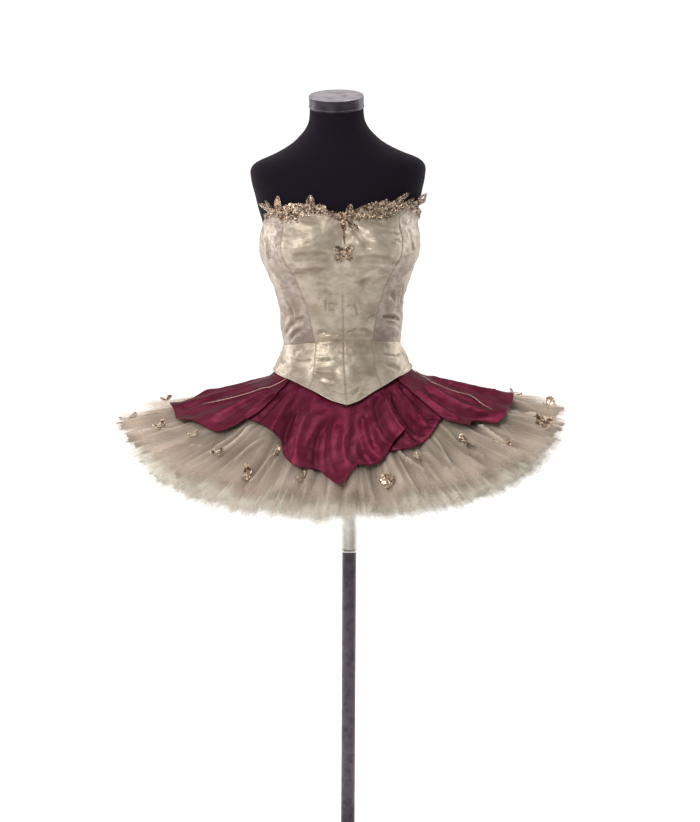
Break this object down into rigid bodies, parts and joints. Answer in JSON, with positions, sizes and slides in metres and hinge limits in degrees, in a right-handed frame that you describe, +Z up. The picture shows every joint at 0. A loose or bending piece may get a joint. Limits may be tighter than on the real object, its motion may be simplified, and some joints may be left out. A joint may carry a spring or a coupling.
{
  "type": "ballet costume on a limbless dress form",
  "caption": "Strapless boned satin ballet costume with a pointed basque, petal overskirt and layered tulle tutu, worn by a limbless dress form on a pole stand.",
  "frame": {"origin": "centre of the underside of the stand's round base, on the floor", "axes": "+Z up along the pole, -Y the way the wearer faces, +X to the wearer's left"},
  "size_m": [0.9397, 0.8157, 1.5866],
  "materials": {
    "base_enamel": "satin black enamel",
    "pole_enamel": "satin dark enamel",
    "collar_chrome": "polished",
    "form_jersey": "matt black jersey",
    "cap_pewter": "satin pewter",
    "champagne_satin": "duchess satin with a soft sheen",
    "burgundy_satin": "satin with a soft sheen",
    "taupe_tulle": "matt stiff net",
    "pale_tulle": "matt soft net",
    "yoke_cotton": "plain cotton",
    "gold_bullion": "aged bead trim",
    "gilt_beads": "aged gilt beads"
  },
  "bodies": {
    "root": {"base": "base_enamel", "basque_back_left": "champagne_satin", "basque_back_right": "champagne_satin", "basque_centre_front_left": "champagne_satin", "basque_centre_front_right": "champagne_satin", "basque_side_back_left": "champagne_satin", "basque_side_back_right": "champagne_satin", "basque_side_front_left": "champagne_satin", "basque_side_front_right": "champagne_satin", "bodice_back_left": "champagne_satin", "bodice_back_right": "champagne_satin", "bodice_centre_front_left": "champagne_satin", "bodice_centre_front_right": "champagne_satin", "bodice_side_back_left": "champagne_satin", "bodice_side_back_right": "champagne_satin", "bodice_side_front_left": "champagne_satin", "bodice_side_front_right": "champagne_satin", "bow": "gold_bullion", "centre_band": "gold_bullion", "collar": "collar_chrome", "form_torso": "form_jersey", "hip_yoke": "yoke_cotton", "neck_cap": "cap_pewter", "neck_trim_left": "gold_bullion", "neck_trim_right": "gold_bullion", "ornament_01": "gilt_beads", "ornament_02": "gilt_beads", "ornament_03": "gilt_beads", "ornament_04": "gilt_beads", "ornament_05": "gilt_beads", "ornament_06": "gilt_beads", "ornament_07": "gilt_beads", "ornament_08": "gilt_beads", "ornament_09": "gilt_beads", "ornament_10": "gilt_beads", "ornament_11": "gilt_beads", "ornament_12": "gilt_beads", "ornament_13": "gilt_beads", "ornament_14": "gilt_beads", "ornament_15": "gilt_beads", "ornament_16": "gilt_beads", "ornament_17": "gilt_beads", "ornament_18": "gilt_beads", "ornament_19": "gilt_beads", "ornament_20": "gilt_beads", "petal_back": "burgundy_satin", "petal_back_left": "burgundy_satin", "petal_back_right": "burgundy_satin", "petal_front": "burgundy_satin", "petal_front_left": "burgundy_satin", "petal_front_right": "burgundy_satin", "petal_left": "burgundy_satin", "petal_right": "burgundy_satin", "pole": "pole_enamel", "tulle_1": "taupe_tulle", "tulle_2": "pale_tulle", "tulle_3": "pale_tulle", "tulle_4": "pale_tulle", "tulle_5": "pale_tulle"}
  },
  "joints": []
}
